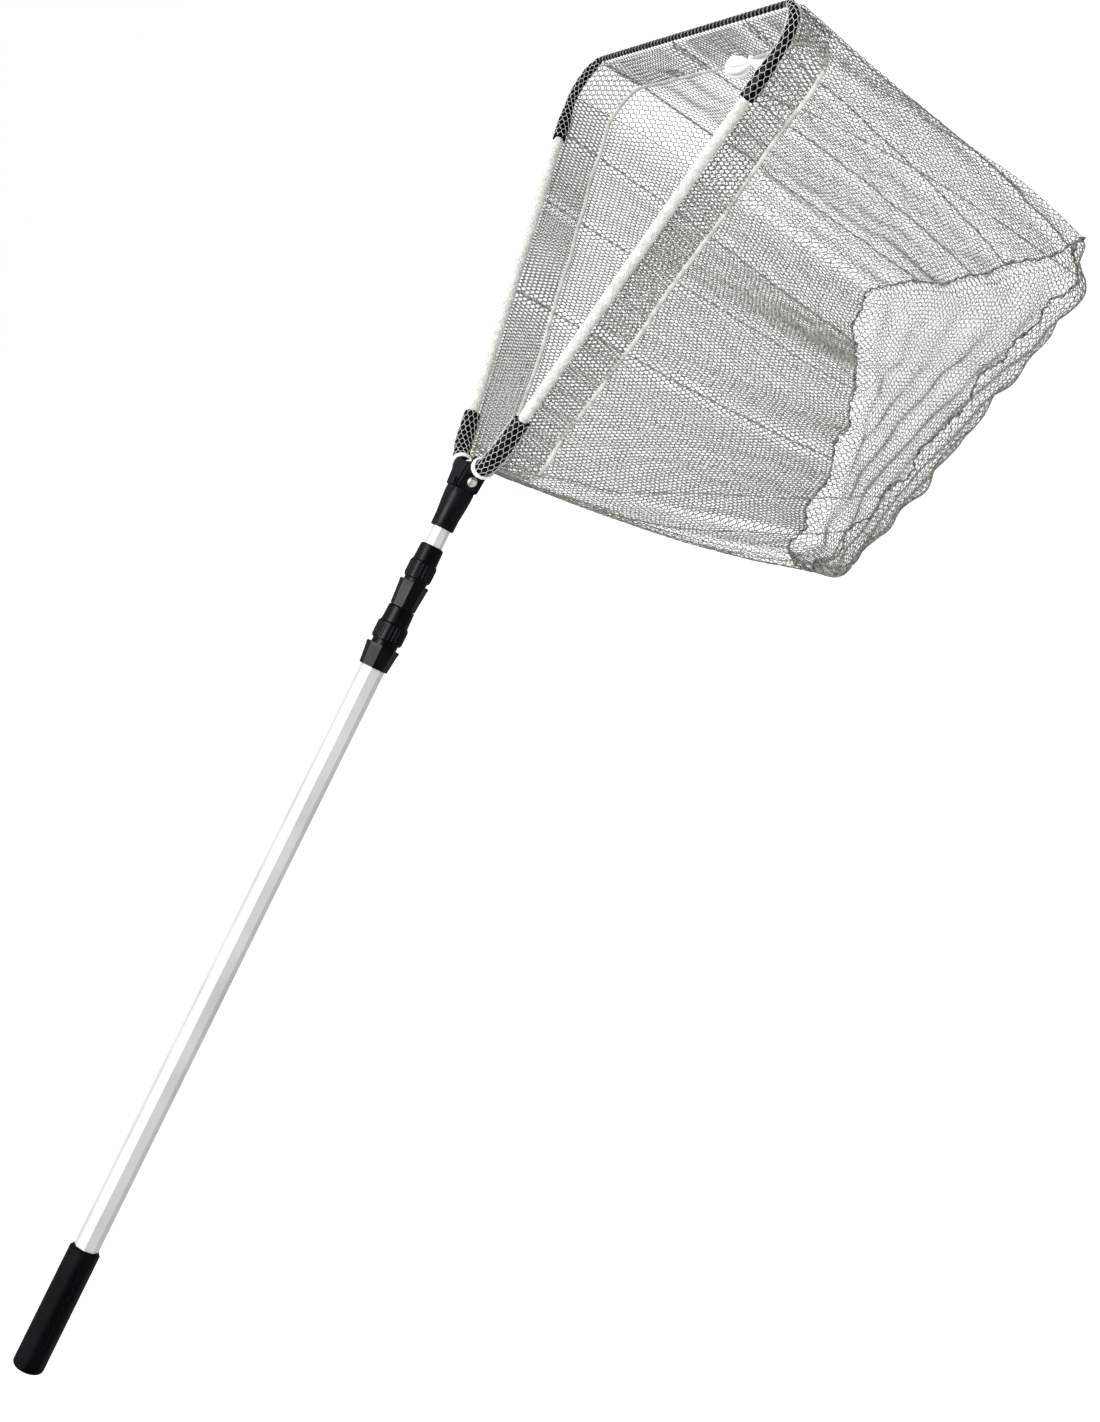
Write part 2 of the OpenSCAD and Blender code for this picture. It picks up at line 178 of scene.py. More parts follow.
def noise(nodes, links, coords, scale, detail=4.0, stretch=(1, 1, 1)):
    """Noise factor; stretch divides the pattern's scale along each axis."""
    mapping = nodes.new("ShaderNodeMapping")
    mapping.inputs["Scale"].default_value = [1 / s for s in stretch]
    links.new(coords, mapping.inputs["Vector"])
    texture = nodes.new("ShaderNodeTexNoise")
    texture.inputs["Scale"].default_value = scale
    texture.inputs["Detail"].default_value = detail
    links.new(mapping.outputs["Vector"], texture.inputs["Vector"])
    return texture.outputs["Fac"]


def ramp(nodes, links, factor, low, high, start=0.35, end=0.65):
    """Colour ramp between two colours, with start and end as the noise values it runs between."""
    node = nodes.new("ShaderNodeValToRGB")
    node.color_ramp.elements[0].position = start
    node.color_ramp.elements[1].position = end
    node.color_ramp.elements[0].color = (*low, 1)
    node.color_ramp.elements[1].color = (*high, 1)
    links.new(factor, node.inputs["Fac"])
    return node.outputs["Color"]


def spread(nodes, links, factor, low, high):
    """Maps a 0.3 to 0.7 noise factor to a value range."""
    node = nodes.new("ShaderNodeMapRange")
    node.inputs["From Min"].default_value = 0.3
    node.inputs["From Max"].default_value = 0.7
    node.inputs["To Min"].default_value = low
    node.inputs["To Max"].default_value = high
    links.new(factor, node.inputs["Value"])
    return node.outputs["Result"]


def bump(nodes, links, shader, height, strength, distance):
    node = nodes.new("ShaderNodeBump")
    node.inputs["Strength"].default_value = strength
    node.inputs["Distance"].default_value = distance
    links.new(height, node.inputs["Height"])
    links.new(node.outputs["Normal"], shader.inputs["Normal"])


def plastic(name, dark, pale, rough_low, rough_high, grain=1500.0, scuffs=0.6, shine=0.05):
    """Moulded plastic: fine grain, cloudy wear and pale scuff marks."""

    def build(nodes, links, shader, coords):
        clouds = noise(nodes, links, coords, 45, 6)
        marks = noise(nodes, links, coords, 260, 8, stretch=(3, 1, 1))
        worn = ramp(nodes, links, clouds, dark, pale, 0.42, 0.72)
        scuffed = nodes.new("ShaderNodeMixRGB")
        scuffed.blend_type = "SCREEN"
        links.new(worn, scuffed.inputs["Color1"])
        rubs = ramp(nodes, links, marks, (0, 0, 0), tuple(scuffs * p for p in pale), 0.6, 0.78)
        links.new(rubs, scuffed.inputs["Color2"])
        scuffed.inputs["Fac"].default_value = 0.8
        links.new(scuffed.outputs["Color"], shader.inputs["Base Color"])
        links.new(spread(nodes, links, clouds, rough_low, rough_high), shader.inputs["Roughness"])
        shader.inputs["Specular IOR Level"].default_value = shine
        bump(nodes, links, shader, noise(nodes, links, coords, grain, 2), 0.25, 0.0002)

    return material(name, build)


def brushed(name, color, dull, rough_low, rough_high, stretch, metallic=1.0):
    """Drawn metal: fine lines along the drawing direction and a faint haze; low metallic makes it satin."""

    def build(nodes, links, shader, coords):
        lines = noise(nodes, links, coords, 900, 3, stretch)
        haze = noise(nodes, links, coords, 14, 4)
        tint = ramp(nodes, links, haze, dull, color, 0.3, 0.6)
        links.new(tint, shader.inputs["Base Color"])
        links.new(spread(nodes, links, lines, rough_low, rough_high), shader.inputs["Roughness"])
        bump(nodes, links, shader, lines, 0.12, 0.0001)

    return material(name, build, metallic=metallic)


def fibre(name, low, high, patch=30.0, rough=0.6, sheen=0.2, twist=0.0):
    """Fibre: patchy colour, soft sheen and, when twist is set, fine bump of that scale."""

    def build(nodes, links, shader, coords):
        patches = noise(nodes, links, coords, patch, 5)
        links.new(ramp(nodes, links, patches, low, high, 0.35, 0.65), shader.inputs["Base Color"])
        shader.inputs["Sheen Weight"].default_value = sheen
        shader.inputs["Specular IOR Level"].default_value = 0.08
        if twist:
            bump(nodes, links, shader, noise(nodes, links, coords, twist, 3), 0.5, 0.0003)

    return material(name, build, roughness=rough)


MAT = {
    "grip_rubber": plastic(
        "grip rubber", (0.0005, 0.0010, 0.0012), (0.002, 0.0032, 0.0036), 0.42, 0.6, 1900, 0.4, 0.035
    ),
    "black_plastic": plastic(
        "lock plastic", (0.0006, 0.0013, 0.0016), (0.003, 0.0048, 0.0054), 0.26, 0.42, scuffs=0.5
    ),
    "hub_plastic": plastic("hub plastic", (0.0010, 0.0020, 0.0024), (0.006, 0.0088, 0.0098), 0.3, 0.46),
    "tip_plastic": plastic("tip plastic", (0.0006, 0.0009, 0.0011), (0.003, 0.0038, 0.0042), 0.35, 0.55),
    "collet_plastic": plastic(
        "collet nylon", (0.62, 0.62, 0.57), (0.72, 0.72, 0.68), 0.4, 0.6, scuffs=0.0, shine=0.5
    ),
    "pole_aluminium": brushed(
        "pole aluminium", (0.64, 0.645, 0.64), (0.52, 0.525, 0.52), 0.34, 0.50, (1, 60, 1), 0.25
    ),
    "arm_aluminium": brushed(
        "arm aluminium", (0.80, 0.80, 0.80), (0.70, 0.71, 0.71), 0.3, 0.45, (20, 40, 1), 0.3
    ),
    "rivet_steel": brushed("rivet steel", (0.78, 0.77, 0.74), (0.55, 0.54, 0.52), 0.2, 0.45, (1, 1, 1)),
    "ring_wire": brushed("ring wire", (0.75, 0.62, 0.36), (0.5, 0.42, 0.28), 0.2, 0.4, (1, 1, 1)),
    "spring_wire": brushed("spring wire", (0.7, 0.7, 0.7), (0.5, 0.5, 0.5), 0.2, 0.4, (1, 1, 1)),
    "net_grey": fibre("net grey", (0.052, 0.062, 0.049), (0.49, 0.53, 0.46), patch=420.0, rough=0.5),
    # Lighter copy of net grey for the left wall and its border: painted light over the shade they lie in inside
    # the bag
    "net_left_painted_light": fibre("net left painted light", (0.15, 0.165, 0.14), (0.60, 0.63, 0.57), patch=420.0, rough=0.5),
    "net_crease": fibre("net crease", (0.11, 0.12, 0.10), (0.36, 0.38, 0.34), patch=200.0, rough=0.7),
    "cord_winding": fibre("cord winding", (0.08, 0.084, 0.076), (0.28, 0.29, 0.27), patch=300.0, rough=0.7),
    "net_white": fibre("net white", (0.70, 0.71, 0.68), (0.93, 0.93, 0.91), patch=160.0, rough=0.6),
    "hem_cloth": fibre(
        "hem cloth", (0.80, 0.81, 0.78), (0.94, 0.94, 0.93), patch=90.0, rough=0.75, twist=1400.0
    ),
    "arm_hem": fibre(
        "arm hem", (0.50, 0.52, 0.47), (0.74, 0.76, 0.71), patch=130.0, rough=0.75, twist=1400.0
    ),
    "seam_tape": fibre(
        "seam tape", (0.46, 0.475, 0.43), (0.72, 0.73, 0.68), patch=110.0, rough=0.8, twist=1600.0
    ),
    "dark_cord": fibre("dark cord", (0.002, 0.0025, 0.0025), (0.008, 0.009, 0.009), 300.0, 0.8, 0.0, 2200.0),
    "net_seam": fibre(
        "net seam", (0.035, 0.04, 0.03), (0.22, 0.235, 0.20), patch=200.0, rough=0.7, twist=1800.0
    ),
    "tag_cloth": fibre(
        "tag cloth", (0.86, 0.86, 0.83), (0.95, 0.95, 0.94), patch=60.0, rough=0.7, twist=2600.0
    ),
}


THIN_NODES = ("pivot_washers", "left_pivot_pin", "right_pivot_pin", "hub_catch", "net_ring")


def dress_cad():
    """Gives every CAD node its detailed material and softens its hard edges."""
    slots = {s["node"]: s["material_slot"] for s in frame["record"]["subparts"]}
    for name, node in NODES.items():
        mesh = node.data
        mesh.materials.clear()
        mesh.materials.append(MAT[slots[name]])
        for layer in ("custom_normal", "sharp_edge", "sharp_face"):
            if layer in mesh.attributes:
                mesh.attributes.remove(mesh.attributes[layer])
        node.modifiers.new("one skin", "WELD").merge_threshold = 1e-6
        edge = node.modifiers.new("edge", "BEVEL")
        edge.width = 0.0004 if name not in THIN_NODES else 0.0001
        edge.segments = 2
        edge.limit_method = "ANGLE"
        edge.angle_limit = math.radians(28)
        edge.harden_normals = True


dress_cad()

# ---------------------------------------------------------------- mesh building


def piece(name, verts, faces, mat, body, slot, smooth=True):
    """New mesh object in the row frame that rides on a body and takes the given material; slot is not used."""
    mesh = bpy.data.meshes.new(name)
    mesh.vertices.add(len(verts))
    mesh.vertices.foreach_set("co", np.asarray(verts, np.float32).ravel())
    faces = np.asarray(faces, np.int32)
    mesh.loops.add(faces.size)
    mesh.loops.foreach_set("vertex_index", faces.ravel())
    mesh.polygons.add(len(faces))
    mesh.polygons.foreach_set("loop_start", np.arange(0, faces.size, faces.shape[1], dtype=np.int32))
    mesh.polygons.foreach_set("use_smooth", np.full(len(faces), smooth))
    mesh.update(calc_edges=True)
    mesh.validate()
    mesh.materials.append(mat)
    obj = bpy.data.objects.new(name, mesh)
    bpy.context.scene.collection.objects.link(obj)
    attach(obj, body)
    return obj


def path_frames(path):
    """Two unit vectors square to the path at each point, turning as little as they can."""
    tangent = np.gradient(path, axis=0)
    tangent /= np.linalg.norm(tangent, axis=1)[:, None]
    side = np.cross(tangent, [0, 0, 1.0])
    weak = np.linalg.norm(side, axis=1) < 0.1
    side[weak] = np.cross(tangent[weak], [1.0, 0, 0])
    side /= np.linalg.norm(side, axis=1)[:, None]
    return side, np.cross(side, tangent)


def tube(path, radius, sides=8, flat=1.0):
    """Closed tube along a path: vertices and quad faces. flat squashes it along its second axis."""
    path = np.asarray(path, float)
    n = len(path)
    radius = np.broadcast_to(np.asarray(radius, float), n)
    side, up = path_frames(path)
    angle = np.linspace(0, 2 * math.pi, sides, endpoint=False)
    ring = np.cos(angle)[None, :, None] * side[:, None, :]
    ring = ring + flat * np.sin(angle)[None, :, None] * up[:, None, :]
    verts = path[:, None, :] + radius[:, None, None] * ring
    first = path[:1, None, :] + 0.02 * radius[0] * ring[:1]
    last = path[-1:, None, :] + 0.02 * radius[-1] * ring[-1:]
    verts = np.concatenate([first, verts, last]).reshape(-1, 3)
    row = np.arange(n + 1)[:, None] * sides
    col = np.arange(sides)[None, :]
    nxt = (col + 1) % sides
    faces = np.stack([row + col, row + nxt, row + sides + nxt, row + sides + col], -1).reshape(-1, 4)
    caps = []
    for base, turn in ((0, -1), ((n + 1) * sides, 1)):
        ids = (base + np.arange(sides))[::turn]
        for k in range(1, sides - 2, 2):
            caps.append([ids[0], ids[k], ids[k + 1], ids[k + 2]])
    return verts, np.vstack([faces, caps])


def joined(parts):
    """Several (vertices, faces) pairs as one."""
    verts, faces, base = [], [], 0
    for v, f in parts:
        verts.append(v)
        faces.append(np.asarray(f) + base)
        base += len(v)
    return np.vstack(verts), np.vstack(faces)


# ---------------------------------------------------------------- netting

CELL = 0.0048
STRAND_R = 0.00041
SLACK_STRAND_R = 0.00088
FRONT_STRAND_R = 0.00052
BORDER_STRAND_R = 0.00056
FLOOR_STRAND_R = 0.00058


def strand_quads(a, b, radius):
    """Sides of three-sided prisms from points a to points b: vertices and quad faces."""
    along = b - a
    along /= np.linalg.norm(along, axis=1)[:, None] + 1e-12
    helper = np.where(np.abs(along[:, 2:3]) < 0.8, [[0, 0, 1.0]], [[1.0, 0, 0]])
    side = np.cross(along, helper)
    side /= np.linalg.norm(side, axis=1)[:, None]
    up = np.cross(side, along)
    ring = [math.cos(t) * side + math.sin(t) * up for t in (0, math.tau / 3, 2 * math.tau / 3)]
    radius = np.broadcast_to(np.asarray(radius, float), len(a))[:, None]
    corners = [a + radius * r for r in ring] + [b + radius * r for r in ring]
    verts = np.stack(corners, 1).reshape(-1, 3)
    base = (np.arange(len(a)) * 6)[:, None]
    pattern = np.array([[0, 1, 4, 3], [1, 2, 5, 4], [2, 0, 3, 5]])
    faces = (base[:, :, None] + pattern[None]).reshape(-1, 4)
    return verts, faces


def hex_edges(width, height, cell=CELL):
    """Edges of a honeycomb over a width by height sheet: two (n, 2) arrays of end points.
    Columns run up the height; the honeycomb's upright edges are the knitted columns' pillars."""
    across = cell
    rise = cell * 1.12
    upright = 0.42 * rise
    slope = rise - upright
    nx = max(2, int(width / across))
    across = width / nx
    ny = max(2, int(height / rise))
    scale = height / (ny * rise)
    upright, slope, rise = upright * scale, slope * scale, rise * scale
    i, j = np.meshgrid(np.arange(nx), np.arange(ny), indexing="ij")
    x0 = (i + 0.5 * (j % 2)) * across
    y0 = j * rise
    low = np.stack([x0, y0], -1)
    top = np.stack([x0, y0 + upright], -1)
    left = np.stack([x0 - across / 2, y0 + rise], -1)
    right = np.stack([x0 + across / 2, y0 + rise], -1)
    a = np.concatenate([low, top, top]).reshape(-1, 2)
    b = np.concatenate([top, left, right]).reshape(-1, 2)
    return a, b


# ---------------------------------------------------------------- bag form

SIDE_COLS = 46
END_COLS = 24
ROWS = 36
MOUTH_DROP = 0.0055


def along_path(path, count, start=0.0, end=1.0):
    """count points at even spacing between two shares of a path's length."""
    steps = np.linalg.norm(np.diff(path, axis=0), axis=1)
    run = np.concatenate([[0], np.cumsum(steps)]) / steps.sum()
    want = np.linspace(start, end, count)
    return np.column_stack([np.interp(want, run, path[:, k]) for k in range(3)])


RIM = smooth_path(rim_half(), 0.004)
RIM_STEPS = np.concatenate([[0], np.cumsum(np.linalg.norm(np.diff(RIM, axis=0), axis=1))])
BAND_AT = 0.032
TIP_BEND_AT = 0.565


def rim_share(length):
    return length / RIM_STEPS[-1]


def mouth_loop():
    """The bag's top edge, anticlockwise from the left hub band: hub side, right side, front, left side."""
    half_end = END_COLS // 2
    hub = along_path(RIM, half_end + 1, 0, rim_share(BAND_AT))
    side = along_path(RIM, SIDE_COLS + 1, rim_share(BAND_AT), rim_share(TIP_BEND_AT))
    front = along_path(RIM, half_end + 1, rim_share(TIP_BEND_AT), 1)
    right = np.vstack([hub[:-1], side[:-1], front[:-1]])
    loop = np.vstack([right, front[-1:], mirrored(right)[:0:-1]])
    loop = np.roll(loop, half_end, axis=0)
    loop[:, 2] -= MOUTH_DROP
    return loop


RNG = np.random.default_rng(7)


def waves(count, low, high, turns):
    """A smooth closed random curve of count values, made of a few sine waves."""
    t = np.linspace(0, 2 * math.pi, count, endpoint=False)
    value = sum(RNG.normal() * np.sin(k * t + RNG.uniform(0, 7)) / math.sqrt(k) for k in range(low, high))
    return value / np.abs(value).max() * turns


# Seam round the closed end, which narrows towards the hub; the left half lies further in than the right
HUB_LEFT, HUB_RIGHT = [-0.050, 1.070, -0.398], [0.034, 1.064, -0.396]
FAR_RIGHT, FAR_LEFT = [0.240, 1.476, -0.398], [-0.194, 1.416, -0.421]
FOOT_HUB = [HUB_LEFT, [-0.010, 1.060, -0.408], HUB_RIGHT]
FOOT_RIGHT = [HUB_RIGHT, [0.088, 1.152, -0.402], [0.128, 1.226, -0.404], [0.176, 1.325, -0.404]]
FOOT_RIGHT += [[0.240, 1.404, -0.402], FAR_RIGHT]
FOOT_FRONT = [FAR_RIGHT, [0.120, 1.452, -0.424], [-0.046, 1.432, -0.430], [-0.152, 1.440, -0.424], FAR_LEFT]
FOOT_LEFT = [FAR_LEFT, [-0.190, 1.372, -0.424], [-0.125, 1.290, -0.428], [-0.090, 1.178, -0.424], HUB_LEFT]
CORNER_ROUNDING = 9


def foot_loop():
    """Points of the closed end's seam, as many as the mouth's and in the same order."""
    sides = [(FOOT_HUB, END_COLS), (FOOT_RIGHT, SIDE_COLS), (FOOT_FRONT, END_COLS), (FOOT_LEFT, SIDE_COLS)]
    loop = np.vstack([along_path(smooth_path(points, 0.002), count + 1)[:-1] for points, count in sides])
    for _ in range(CORNER_ROUNDING):
        loop = (np.roll(loop, 1, 0) + 2 * loop + np.roll(loop, -1, 0)) / 4
    for axis, size in ((0, 0.005), (1, 0.005), (2, 0.008)):
        loop[:, axis] += waves(len(loop), 8, 30, size)
    return loop


def bag_grid():
    """Wall grid (ROWS + 1 rows of the closed loop) and floor grid of the bag, before the cloth settles."""
    top, foot = mouth_loop(), foot_loop()
    count = len(top)
    t = np.linspace(0, 1, ROWS + 1)[:, None, None]
    wall = top * (1 - t) + foot * t
    out = wall - wall.mean(1, keepdims=True)
    out[..., 2] = 0
    out /= np.linalg.norm(out, axis=2, keepdims=True)
    ripple = waves(count, 5, 26, 0.004)[None, :, None]
    drift = waves(count, 3, 12, 0.006)[None, :, None]
    belly = np.sin(math.pi * t) * 0.012
    wall = wall + out * (belly + t * (1 - 0.3 * t) * ripple + np.sin(2 * math.pi * t) * drift)
    edge = wall[-1]
    near, right = edge[: END_COLS + 1], edge[END_COLS : END_COLS + SIDE_COLS + 1]
    far = edge[END_COLS + SIDE_COLS : 2 * END_COLS + SIDE_COLS + 1][::-1]
    left = np.vstack([edge[2 * END_COLS + SIDE_COLS :], edge[:1]])[::-1]
    u = np.linspace(0, 1, END_COLS + 1)[None, :, None]
    v = np.linspace(0, 1, SIDE_COLS + 1)[:, None, None]
    corners = [near[0], near[-1], far[0], far[-1]]
    floor = (1 - v) * near[None] + v * far[None] + (1 - u) * left[:, None] + u * right[:, None]
    floor -= (1 - u) * (1 - v) * corners[0] + u * (1 - v) * corners[1]
    floor -= (1 - u) * v * corners[2] + u * v * corners[3]
    floor[..., 2] -= 0.050 * (np.sin(math.pi * u) * np.sin(math.pi * v))[..., 0] ** 0.3
    return wall, floor


WALL, FLOOR = bag_grid()


def floor_corners():
    """For every point on the floor grid's edge: (row, column, index round the wall's last row)."""
    total = 2 * (END_COLS + SIDE_COLS)
    shared = [(0, i, i) for i in range(END_COLS + 1)]
    shared += [(j, END_COLS, END_COLS + j) for j in range(1, SIDE_COLS + 1)]
    shared += [(SIDE_COLS, i, total - SIDE_COLS - i) for i in range(END_COLS)]
    shared += [(j, 0, (total - j) % total) for j in range(1, SIDE_COLS)]
    return shared


CLOTH_FRAMES = 36


def settle(wall, floor):
    """Hangs the bag as cloth from its pinned mouth for a while; returns the same two grids afterwards."""
    rows, count = wall.shape[:2]
    verts = [p for p in wall.reshape(-1, 3)]
    index = -np.ones(floor.shape[:2], int)
    for j, i, k in floor_corners():
        index[j, i] = (rows - 1) * count + k
    for j in range(floor.shape[0]):
        for i in range(floor.shape[1]):
            if index[j, i] < 0:
                index[j, i] = len(verts)
                verts.append(floor[j, i])
    faces = [
        (r * count + c, r * count + (c + 1) % count, (r + 1) * count + (c + 1) % count, (r + 1) * count + c)
        for r in range(rows - 1)
        for c in range(count)
    ]
    faces += [
        (index[j, i], index[j, i + 1], index[j + 1, i + 1], index[j + 1, i])
        for j in range(floor.shape[0] - 1)
        for i in range(floor.shape[1] - 1)
    ]
    mesh = bpy.data.meshes.new("hanging")
    mesh.from_pydata(verts, [], [tuple(int(k) for k in f) for f in faces])
    cloth_object = bpy.data.objects.new("hanging", mesh)
    bpy.context.scene.collection.objects.link(cloth_object)
    pins = cloth_object.vertex_groups.new(name="pins")
    pins.add(list(range(count)), 1.0, "REPLACE")
    pins.add(list(range((rows - 1) * count, rows * count)), 0.6, "REPLACE")
    cloth = cloth_object.modifiers.new("cloth", "CLOTH")
    cloth.settings.vertex_group_mass = "pins"
    cloth.settings.quality = 6
    cloth.settings.mass = 0.02
    cloth.settings.air_damping = 3.0
    cloth.settings.tension_stiffness = 20
    cloth.settings.compression_stiffness = 4
    cloth.settings.shear_stiffness = 3
    cloth.settings.bending_stiffness = 0.02
    cloth.settings.pin_stiffness = 0.5
    cloth.collision_settings.use_collision = False
    cloth.point_cache.frame_end = CLOTH_FRAMES
    scene = bpy.context.scene
    for f in range(1, CLOTH_FRAMES + 1):
        scene.frame_set(f)
    settled = cloth_object.evaluated_get(bpy.context.evaluated_depsgraph_get()).to_mesh()
    points = np.empty(len(verts) * 3)
    settled.vertices.foreach_get("co", points)
    points = points.reshape(-1, 3)
    bpy.data.objects.remove(cloth_object)
    scene.frame_set(1)
    return points[: rows * count].reshape(rows, count, 3), points[index]


# The bag hangs no lower than this; points near it are eased up over the last stretch
LOWEST = -0.450
EASE = 0.012
WALL, FLOOR = settle(WALL, FLOOR)
for grid in (WALL, FLOOR):
    deep = np.minimum(grid[..., 2] - (LOWEST + EASE), 0)
    grid[..., 2] = np.where(deep < 0, LOWEST + EASE * np.exp(deep / EASE), grid[..., 2])


def finer(grid, times, closed):
    """Catmull-Rom refinement of a grid along its second axis."""
    if closed:
        padded = np.concatenate([grid[:, -1:], grid, grid[:, :2]], 1)
    else:
        before = 2 * grid[:, :1] - grid[:, 1:2]
        after = 2 * grid[:, -1:] - grid[:, -2:-1]
        padded = np.concatenate([before, grid, after], 1)
    a, b, c, d = padded[:, :-3], padded[:, 1:-2], padded[:, 2:-1], padded[:, 3:]
    steps = [catmull_rom(a, b, c, d, t) for t in np.arange(times) / times]
    fine = np.stack(steps, 2).reshape(grid.shape[0], -1, 3)
    return fine if closed else np.concatenate([fine, grid[:, -1:]], 1)


def turned(grid):
    return grid.transpose(1, 0, 2)


def rippled(grid):
    """Folds pressed into the closed end, which fade towards its seam."""
    v, u = np.meshgrid(*[np.linspace(0, 1, n) for n in grid.shape[:2]], indexing="ij")
    inside = np.clip(8 * np.minimum(np.minimum(u, 1 - u), np.minimum(v, 1 - v)), 0, 1)
    wave = np.sin(38 * u + 9 * np.sin(4 * v + 1)) + 0.8 * np.sin(24 * v + 7 * u + 5 * np.sin(6 * u))
    out = grid.copy()
    out[..., 2] += 0.0024 * inside * wave
    return out


WALL_FINE = turned(finer(turned(finer(WALL, 3, True)), 3, False))
WALL_FINE = np.concatenate([WALL_FINE, WALL_FINE[:, :1]], 1)
FLOOR_FINE = rippled(turned(finer(turned(finer(FLOOR, 3, False)), 3, False)))
MOUTH_STEPS = np.linalg.norm(np.diff(WALL_FINE[0], axis=0), axis=1)
MOUTH_LENGTH = MOUTH_STEPS.sum()
WALL_HEIGHT = np.linalg.norm(np.diff(WALL_FINE, axis=0), axis=2).sum(0).mean()
SIDE_FROM = END_COLS / WALL.shape[1]
SIDE_TO = (END_COLS + SIDE_COLS) / WALL.shape[1]
FRONT_TO = (2 * END_COLS + SIDE_COLS) / WALL.shape[1]


def on_grid(grid, u, v):
    """Points of a grid at shares u along its columns and v down its rows, straight between grid points."""
    rows, cols = grid.shape[:2]
    x = np.clip(u, 0, 1) * (cols - 1)
    y = np.clip(v, 0, 1) * (rows - 1)
    i = np.minimum(x.astype(int), cols - 2)
    j = np.minimum(y.astype(int), rows - 2)
    fx, fy = (x - i)[:, None], (y - j)[:, None]
    top = grid[j, i] * (1 - fx) + grid[j, i + 1] * fx
    low = grid[j + 1, i] * (1 - fx) + grid[j + 1, i + 1] * fx
    return top * (1 - fy) + low * fy


# Creases pressed into the netting: share round the mouth, share round the foot
CREASES = [
    (0.140, 0.210),
    (SIDE_FROM + 0.008, SIDE_FROM + 0.074),
    (0.468, 0.462),
    (0.525, 0.520),
    (0.556, 0.562),
    (0.596, 0.590),
    (0.640, 0.632),
    (0.705, 0.728),
    (0.765, 0.800),
    (0.845, 0.880),
]
CREASE_SPREAD = 0.0045
CREASE_SHIFT = 0.0052


# How closely the netting's columns stand on each wall: the front is stretched open, the left is slack
CLOSENESS = [(0.0, 1.0), (SIDE_TO - 0.02, 1.0), (SIDE_TO + 0.01, 0.7)]
CLOSENESS += [(FRONT_TO - 0.01, 0.7), (FRONT_TO + 0.03, 1.1)]


# Strand radius round the wall: the slack left wall's loops stand fuller
FULLNESS = [(0, STRAND_R), (SIDE_TO, STRAND_R), (SIDE_TO + 0.02, FRONT_STRAND_R)]
FULLNESS += [(FRONT_TO - 0.02, FRONT_STRAND_R), (FRONT_TO + 0.02, SLACK_STRAND_R)]
FULLNESS += [(0.97, SLACK_STRAND_R), (1, STRAND_R)]


def knitted_run():
    """Width of flat netting used up to each column of the wall grid."""
    share = (np.arange(len(MOUTH_STEPS)) + 0.5) / len(MOUTH_STEPS)
    steps = MOUTH_STEPS * np.interp(share, *zip(*CLOSENESS))
    return np.concatenate([[0], np.cumsum(steps)])


KNITTED_RUN = knitted_run()
KNITTED_LENGTH = KNITTED_RUN[-1]


def along_loop(distance):
    """Shares u round the wall at distances along the flat netting."""
    return np.interp(distance, KNITTED_RUN, np.linspace(0, 1, len(KNITTED_RUN)))


def creased(u, v):
    """Shifts shares u round the wall towards each crease, so that the netting doubles over there."""
    shifted = u.copy()
    for top, foot in CREASES:
        away = (u - (top + (foot - top) * v)) * MOUTH_LENGTH / CREASE_SPREAD
        shifted -= CREASE_SHIFT * away * np.exp(-(away**2) / 2) / MOUTH_LENGTH
    return shifted % 1.0


def prisms(a, b, radius):
    """Closed three-sided prisms from points a to points b: vertices and triangles."""
    verts, quads = strand_quads(a, b, radius)
    tris = np.concatenate([quads[:, [0, 1, 2]], quads[:, [0, 2, 3]]])
    base = (np.arange(len(a)) * 6)[:, None]
    return verts, np.vstack([tris, base + [[2, 1, 0]], base + [[3, 4, 5]]])


def moved_in(points, distance):
    """Points moved level towards the middle of the bag."""
    away = (points - np.array([0, 1.25, 0])) * [1, 1, 0]
    return points - away / np.linalg.norm(away, axis=1)[:, None] * distance


def wall_strands(first, last, top=0.0, bottom=1.0, inward=0.0, shift=0.0, radius=None):
    """Strands of the wall between two shares of its loop; inward moves them towards the middle."""
    a, b = hex_edges(KNITTED_LENGTH, WALL_HEIGHT)
    middle = along_loop((a[:, 0] + b[:, 0]) / 2)
    height = (a[:, 1] + b[:, 1]) / 2 / WALL_HEIGHT
    keep = (middle >= first) & (middle < last) & (height >= top) & (height <= bottom)
    ends = []
    for p in (a[keep], b[keep]):
        u = along_loop((p[:, 0] + shift) % KNITTED_LENGTH)
        v = p[:, 1] / WALL_HEIGHT
        points = on_grid(WALL_FINE, creased(u, v), v)
        ends.append(moved_in(points, inward))
    return prisms(ends[0], ends[1], radius or np.interp(middle[keep], *zip(*FULLNESS)))


def soft(obj):
    """Gives a piece its own copy of its mesh."""
    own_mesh(obj)
    return obj


def net_piece(name, shape, mat="net_grey", slot="net_grey", smooth=True):
    obj = piece(name, *shape, MAT[mat], "net_bag", slot, smooth)
    soft(obj)
    return obj


# Just past the end of the loop, so that its last column of netting is kept
WHOLE = 1.0001
SIDE_MID = (SIDE_FROM + SIDE_TO) / 2
LEFT_MID = (FRONT_TO + 1) / 2
net_piece("net_hub_side", wall_strands(0, SIDE_FROM))
net_piece("net_right_side_near", wall_strands(SIDE_FROM, SIDE_MID))
net_piece("net_right_side_far", wall_strands(SIDE_MID, SIDE_TO))
net_piece("net_front_side", wall_strands(SIDE_TO, FRONT_TO))
# The left wall takes the lighter copy of net grey: painted light over its shade
net_piece("net_left_side_far", wall_strands(FRONT_TO, LEFT_MID), "net_left_painted_light")
net_piece("net_left_side_near", wall_strands(LEFT_MID, WHOLE), "net_left_painted_light")


